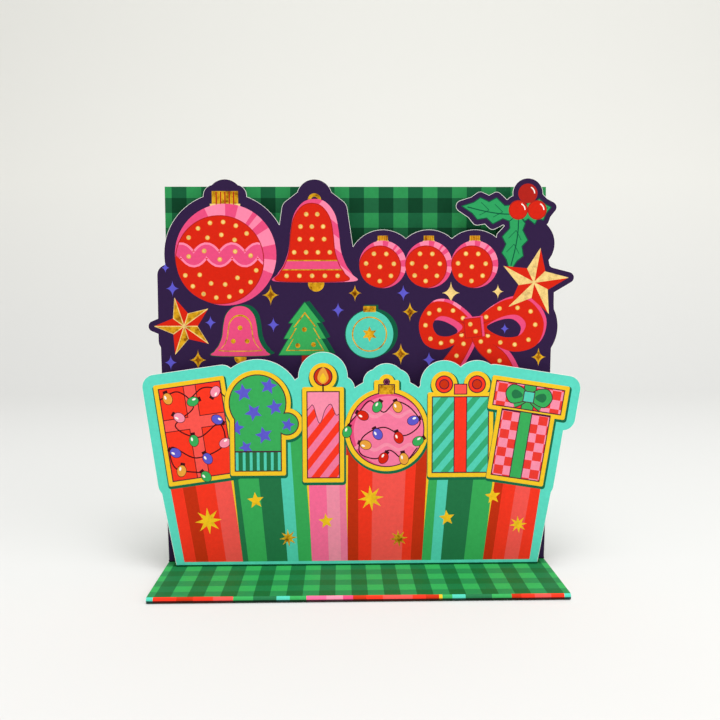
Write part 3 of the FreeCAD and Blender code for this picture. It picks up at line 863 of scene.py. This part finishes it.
parcelPrint = {
    "box": (-52.7, 45.2, 22, 32.5, 8), "ribbon": (3.7, 0.5), "run": 40, "crossing": 3.0,
    "wires": (((-64.5, 55.5), (-58.5, 58.2), (-53.5, 53.2), (-59.5, 47.0), (-52.0, 43.2), (-45.2, 47.8),
               (-43.8, 40.6), (-52.8, 36.4), (-60.8, 40.0), (-59.6, 33.0), (-50.4, 31.4)),
              ((-54.0, 56.4), (-50.6, 59.4), (-46.4, 59.2), (-42.4, 55.8))),
    "lamps": ((-62.0, 56.4, 20, "amber"), (-53.2, 55.2, -70, "green"), (-58.6, 50.0, 60, "lightPink"),
              (-53.6, 42.6, 10, "green"), (-45.4, 48.8, -120, "violet"), (-43.0, 41.6, -60, "lightPink"),
              (-49.4, 36.6, 30, "violet"), (-60.0, 38.4, 60, "violet"), (-57.6, 32.6, -10, "amber"),
              (-50.0, 30.6, 40, "green"), (-46.6, 57.8, 150, "lightPink")),
}


# Red parcel with a crossed ribbon and lights
def drawParcel(art):
    size = parcelPrint
    x, h, _, _, tilt = size["box"]
    frameObject(art, [slab(*size["box"])], "red", "parcel")
    width, line = size["ribbon"]
    for wide, tone in ((width + line, "wire"), (width, "lightRed")):
        for band in (slab(x, h, wide, size["run"]), slab(x, h + size["crossing"], size["run"], wide)):
            art.lay(turned(band, tilt, x, h), tone, within="parcel")
    drawLights(art, size["wires"], size["lamps"])


mittenPrint = {
    "hand": (-32.6, 45, 17, 28), "palm": (-32.6, 54.4, 10.2), "thumb": (-23.0, 47.5, 4.6),
    "cuffLine": (-32.6, 35.0, 30, 7.2), "cuff": (-32.6, 34.7, 30, 6.8), "ribs": (7, 2.3), "rib": 0.9,
    "stars": ((-37.2, 57.8, 3.1, 8), (-29.0, 60.0, 2.9, -12), (-34.0, 51.4, 3.0, 30),
              (-27.0, 53.0, 2.8, 10), (-39.6, 46.2, 2.7, -8), (-30.6, 43.8, 3.0, 14),
              (-36.6, 39.8, 2.4, 24), (-22.8, 47.2, 2.4, -14)),
}


# Green mitten with violet stars and a ribbed cuff
def drawMitten(art):
    size = mittenPrint
    hand = [slab(*size["hand"]), disc(*size["palm"]), disc(*size["thumb"])]
    frameObject(art, hand, "green", "mitten")
    for place in size["stars"]:
        art.lay(star(*place), "violet", within="mitten")
    art.lay(slab(*size["cuffLine"]), "line", within="mitten")
    art.lay(slab(*size["cuff"]), "darkGreen", within="mitten")
    x, h, _, height = size["cuff"]
    for step in spaced(*size["ribs"]):
        art.lay(slab(x + step, h, size["rib"], height), "teal", within="mitten")


candlePrint = {
    "stick": (-11.2, 43.8, 12.4, 30.4), "flame": (-11.2, 63.0, 3.9), "bars": (5.6, 2.2, -38),
    "wick": ((-11.2, 58.0), (-11.2, 62.2)), "wickWidth": 0.5,
    "melt": ((-6, 8), (-6, 16), (6, 16), (6, 9.4), (4.4, 6.6), (2.6, 10.2), (0.6, 8.4), (-1.2, 4.0),
             (-3.2, 9.8), (-4.6, 9.0)), "meltRings": ((0.2, "line"), (0, "lightPink")),
    "tongue": ((0, -2.4), (1.7, -1.0), (1.5, 0.9), (0.1, 3.1), (-1.5, 1.0), (-1.7, -1.0)),
    "heart": (0.55, -0.6),
}


# Candle with slanting bars, a melted top and a flame
def drawCandle(art):
    size = candlePrint
    x, h, _, _ = size["stick"]
    flameX, flameH, flameRadius = size["flame"]
    frameObject(art, [slab(*size["stick"]), disc(*size["flame"])], "red", "candle")
    bars(art, "candle", x, h, *size["bars"], "pink")
    melt = smooth(size["melt"], closed=True)[::-1] + (x, h)
    art.rings(melt, size["meltRings"], within="candle")
    art.lay(disc(flameX, flameH, flameRadius + fillBorder), "darkRed")
    art.lay(stroke(size["wick"], size["wickWidth"]), "wire")
    tongue = smooth(size["tongue"], closed=True)
    share, drop = size["heart"]
    art.lay(tongue + (flameX, flameH), "amber")
    art.lay(tongue * share + (flameX, flameH + drop), "yellow")


baublePrint = {
    "ball": (9.6, 45.4, 13.2), "cap": (9.6, 58.6, 7, 5.2), "ring": (9.6, 61.2, 1.9),
    "eye": (9.6, 61.2, 0.75), "side": (0.9, -0.5, -1.5), "bands": (5.2, -5.8), "bandWidth": 1.1,
    "wave": (0.9, 0.8, math.pi / 2),
    "wires": (((-3.4, 46.6), (0.2, 50.8), (4.2, 55.0), (8.6, 51.2), (12.6, 54.6), (17.4, 52.6),
               (20.6, 47.4), (15.4, 43.4), (8.6, 46.2), (2.0, 43.2), (0.8, 37.8), (6.2, 35.8),
               (10.6, 38.6), (15.8, 35.2), (19.8, 39.4)),),
    "lamps": ((-3.2, 45.2, -20, "green"), (1.4, 50.4, 60, "deepRed"), (6.8, 53.4, -30, "green"),
              (13.0, 53.4, 20, "amber"), (18.8, 48.6, -70, "violet"), (13.4, 43.2, 20, "deepRed"),
              (6.4, 44.4, 30, "violet"), (2.2, 40.6, 70, "amber"), (8.8, 36.4, -30, "deepRed"),
              (15.2, 36.2, 10, "amber"), (20.4, 41.8, -60, "green")),
}


# Pink bauble with waved bands, lights, and a foil cap with its ring
def drawBauble(art):
    size = baublePrint
    x, h, radius = size["ball"]
    cap = slab(*size["cap"])
    frameObject(art, [disc(*size["ring"]), cap, disc(*size["ball"])], "pink", "bauble")
    art.lay(disc(x, h, radius + fillBorder), "hotPink", within="bauble", name="baubleSide")
    shiftX, shiftH, border = size["side"]
    art.lay(disc(x + shiftX, h + shiftH, radius + border), "pink", within="baubleSide")
    for lift in size["bands"]:
        wave = waved(x, h + lift, radius, *size["wave"])
        art.lay(stroke(wave, size["bandWidth"]), "lightPink", within="baubleSide")
    art.lay(grow(cap, fillBorder), "gold")
    art.lay(disc(*size["eye"]), "line")
    drawLights(art, size["wires"], size["lamps"])


stripeBoxPrint = {"box": (33.9, 43.6, 20.4, 27), "loops": (5.4, 60.3, 3.7), "bars": (5.2, 1.9, -40),
                  "ribbon": 3.8, "line": 0.6, "knot": (33.9, 58.7, 3.8, 3.0),
                  "loopRings": ((fillBorder, "red"), (-2.0, "line"), (-2.3, "darkRed"))}


# Teal gift box with slanting bars, a red ribbon and a bow
def drawStripeBox(art):
    size = stripeBoxPrint
    x, h, _, height = size["box"]
    spread, loopH, radius = size["loops"]
    loops = [disc(x + side * spread, loopH, radius) for side in (-1, 1)]
    frameObject(art, loops + [slab(*size["box"])], "teal", "stripeBox")
    bars(art, "stripeBox", x, h, *size["bars"], "tealShade")
    edgedSlab(art, x, h, size["ribbon"], height, size["line"], "line", "red", within="stripeBox")
    for loop in loops:
        art.rings(loop, size["loopRings"])
    edgedSlab(art, *size["knot"], size["line"], "line", "lightRed")


checkBoxPrint = {"box": (53.9, 40, 18, 24, -9), "lid": (16, 24.6, 10), "check": 3.0, "reach": 7,
                 "gap": (10.9, 24.6, 0.55), "ribbon": (3.6, 60), "line": 0.6, "bow": (0, 16.2), "knot": 3.2,
                 "loop": ((0, 0), (2.6, 2.6), (6.0, 3.1), (7.6, 0.4), (5.8, -2.5), (2.6, -2.0)),
                 "hole": 0.5, "tail": ((0.4, 0), (2.4, -1.8), (4.6, -3.2)), "tailWidth": 1.92}


# Gift box in a red and pink check, with its lid, a green ribbon and a bow
def drawCheckBox(art):
    size = checkBoxPrint
    x, h, _, _, tilt = size["box"]

    # Places taken from the box's middle, turned with it
    def onBox(shape):
        return turned(shape, tilt) + (x, h)

    frameObject(art, [slab(*size["box"]), onBox(slab(0, *size["lid"]))], "checkRed", "checkBox")
    pitch, reach, line = size["check"], size["reach"], size["line"]
    for column, row in np.argwhere(np.indices((2 * reach + 1, 2 * reach + 1)).sum(0) % 2 == 0) - reach:
        art.lay(onBox(slab(column * pitch, row * pitch, pitch, pitch)), "lightPink", within="checkBox")
    art.lay(onBox(slab(0, *size["gap"])), "line", within="checkBox")
    edgedSlab(art, x, h, *size["ribbon"], line, "line", "green", tilt, "checkBox")
    for side in (-1, 1):
        tail = onBox(smooth(np.array(size["tail"]) * (side, 1)) + size["bow"])
        edgedStroke(art, tail, size["tailWidth"], line, "line", "green", "checkBox")
    for side in (-1, 1):
        loop = smooth(np.array(size["loop"]) * (side, 1), closed=True)[::-side] + size["bow"]
        middle = loop.mean(0)
        hole = (loop - middle) * size["hole"] + middle
        for shape, tone in ((grow(loop, line / 2), "line"), (loop, "green"), (hole, "darkGreen")):
            art.lay(onBox(shape), tone, within="checkBox")
    edgedSlab(art, *onBox(size["bow"]), size["knot"], size["knot"], line, "line", "teal", tilt, "checkBox")


stripePrint = {
    "field": ((-57.3, 1.6), (57.3, 1.6), (61.0, 27.5), (50, 45.5), (-50, 45.5), (-61.8, 28.5)),
    "top": 45.5, "flare": 1.14, "end": 59.5,
    "stripes": ((-57.8, "red"), (-53.1, "darkRed"), (-49.1, "red"), (-43.3, "lightRed"),
                (-37.8, "darkGreen"), (-36.0, "green"), (-29.8, "darkGreen"), (-23.1, "teal"),
                (-19.5, "green"), (-15.1, "stripePink"), (-9.5, "lightPink"), (-5.5, "pink"),
                (-3.3, "darkRed"), (0.2, "red"), (4.5, "lightRed"), (14.5, "red"), (17.5, "darkRed"),
                (21.2, "green"), (24.2, "teal"), (27.5, "darkGreen"), (35.2, "green"),
                (41.5, "darkRed"), (44.5, "red"), (48.5, "lightRed"), (53.2, "red")),
    "wedges": ((-37.8, 12), (-15.1, 13), (-3.3, 9), (21.2, 11), (41.5, 12)), "wedgeTop": (37, 0.55),
    "stars": ((-49.2, 15.4, 4.5, 8), (-33.6, 22.1, 2.8, 5), (-22.9, 9.4, 3.0, 8), (-10.4, 15.0, 2.6, 5),
              (4.4, 22.6, 4.3, 8), (13.6, 9.0, 3.0, 8), (29.6, 15.8, 2.7, 5), (44.8, 23.0, 2.7, 5),
              (53.4, 13.4, 3.0, 8)),
    "starTurn": 6, "waists": {5: 0.44, 8: 0.4}, "lowStar": 10,
}


# Stripes that flare upwards, x growing with height, thin yellow wedges between groups, and foil stars
def drawStripes(art):
    size = stripePrint
    art.lay(np.array(size["field"], float), "red", name="stripes")
    top, flare = size["top"], size["flare"]
    edges = [start for start, _ in size["stripes"]] + [size["end"]]
    for left, right, (_, ink) in zip(edges, edges[1:], size["stripes"]):
        band = [(left, 0), (right, 0), (right * flare, top), (left * flare, top)]
        art.lay(np.array(band), ink, within="stripes")
    high, half = size["wedgeTop"]
    for x, low in size["wedges"]:
        lean = x * (flare - 1) / top
        wedge = [(x + lean * low, low), (x + lean * high + half, high), (x + lean * high - half, high)]
        art.lay(np.array(wedge), "yellow", within="stripes")
    for x, h, radius, tips in size["stars"]:
        shape = star(x, h, radius, size["starTurn"], tips, size["waists"][tips])
        art.lay(shape, "gold" if h < size["lowStar"] else "sunGold")


# Teal border, the stripes, and the row of objects over them
def drawFront(art, edge):
    art.lay(edge, "tealEdge", name="ground")
    drawStripes(art)
    for draw in (drawParcel, drawMitten, drawCandle, drawBauble, drawStripeBox, drawCheckBox):
        draw(art)


card, stripCard = printedCard(), whiteCard()
makeStand(card)
makeBoard("middleBoard", "middle_layer", drawMiddle, "purple", card)
# The front board's foot and fold are laid in the dark drop ink as painted shade
makeBoard("frontBoard", "front_layer", drawFront, "drop", card)
for strip in ("front_hinge_left", "front_hinge_right", "rear_hinge_left", "rear_hinge_right"):
    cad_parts[strip].data.materials.clear()
    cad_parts[strip].data.materials.append(stripCard)
print("card made")


# Floor, light and camera

stageSizes = {"front": -2.4, "back": 1.0, "half": 4.0, "bend": 0.5, "height": 2.4, "steps": 24,
              "floor": (0.645, 0.648, 0.64, 1), "wall": (0.742, 0.74, 0.706, 1), "fade": (0.0, 0.25),
              # sides: the rise of the sweep's colour from left to right, painted light
              "sides": (1.0, 1.035, -0.5, 0.5), "finish": {"roughness": 0.9, "specular": 0.1}}


# Pale sweep: a floor, a quarter circle and an upright wall carried sideways, paler higher up, and paler to
# the right as painted light from that side
def makeStage():
    size = stageSizes
    arc = np.linspace(0, np.pi / 2, size["steps"])
    bend = np.c_[size["back"] - size["bend"] + size["bend"] * np.sin(arc), size["bend"] * (1 - np.cos(arc))]
    path = np.r_[[(size["front"], 0)], bend, [(size["back"], size["height"])]]
    sides = [np.c_[np.full(len(path), side * size["half"]), path] for side in (-1, 1)]
    faces = quads(np.arange(2 * len(path)).reshape(2, -1))
    mesh = bpy.data.meshes.new("sweep")
    mesh.from_pydata(np.concatenate(sides).tolist(), [], faces.tolist())
    mesh.polygons.foreach_set("use_smooth", np.ones(len(faces), bool))
    addObject("sweep", mesh)
    material, nodes, links, shader, place = newMaterial("paleSweep", size["finish"])
    axes = nodes.new("ShaderNodeSeparateXYZ")
    links.new(place, axes.inputs["Vector"])
    up = mapRange(nodes, links, axes.outputs["Z"], 0, 1, *size["fade"])
    # Paler to the right: painted light
    across = mapRange(nodes, links, axes.outputs["X"], *size["sides"])
    pale = mixColour(nodes, links, "MIX", up, size["floor"], size["wall"])
    links.new(mixColour(nodes, links, "MULTIPLY", 1.0, pale, across), shader.inputs["Base Color"])
    mesh.materials.append(material)


lightSizes = {
    "lamps": {"keyLamp": ((0.05, -0.45, 1.4), (0, 0, 0.05), (0.9, 0.9), 20),
              "fillLamp": ((0.95, -0.75, 0.6), (0.1, 0, 0.05), (0.9, 0.7), 4)},
    "room": ((1.0, 0.99, 0.97, 1), 0.55),
}


# Soft rectangular lamps, each turned to a point, and an even pale room
def makeLight():
    for name, (place, target, (width, height), power) in lightSizes["lamps"].items():
        light = bpy.data.lights.new(name, "AREA")
        light.shape = "RECTANGLE"
        light.size, light.size_y, light.energy = width, height, power
        lamp = addObject(name, light)
        lamp.location = place
        lamp.rotation_euler = (Vector(target) - Vector(place)).to_track_quat("-Z", "Y").to_euler()
    world = bpy.data.worlds.new("room")
    bpy.context.scene.world = world
    world.use_nodes = True
    background = world.node_tree.nodes["Background"]
    colour, strength = lightSizes["room"]
    background.inputs["Color"].default_value = colour
    background.inputs["Strength"].default_value = strength


# The place and lens in mm, the turns in degrees, the clip in m
view = {"place": (-5.3, -270.6, 91.6), "pitch": 4.33, "yaw": -1.27, "roll": 0.12, "lens": 43.0,
        "sensor": 36.0, "clip": 0.01}


# The photograph's camera, fitted to the card's corners and plaid
def makeCamera():
    pitch, yaw, roll = (math.radians(view[key]) for key in ("pitch", "yaw", "roll"))
    look = Matrix.Rotation(yaw, 3, "Z") @ Matrix.Rotation(-pitch, 3, "X") @ Matrix.Rotation(roll, 3, "Y")
    upright = Matrix.Rotation(math.pi / 2, 3, "X")
    data = bpy.data.cameras.new("camera")
    data.lens, data.sensor_width, data.clip_start = view["lens"], view["sensor"], view["clip"]
    camera = addObject("camera", data)
    camera.matrix_world = Matrix.Translation(Vector(view["place"]) * mm) @ (look @ upright).to_4x4()
    bpy.context.scene.camera = camera


makeStage()
makeLight()
makeCamera()
bpy.context.scene.view_settings.view_transform = "Standard"
print("stage set")
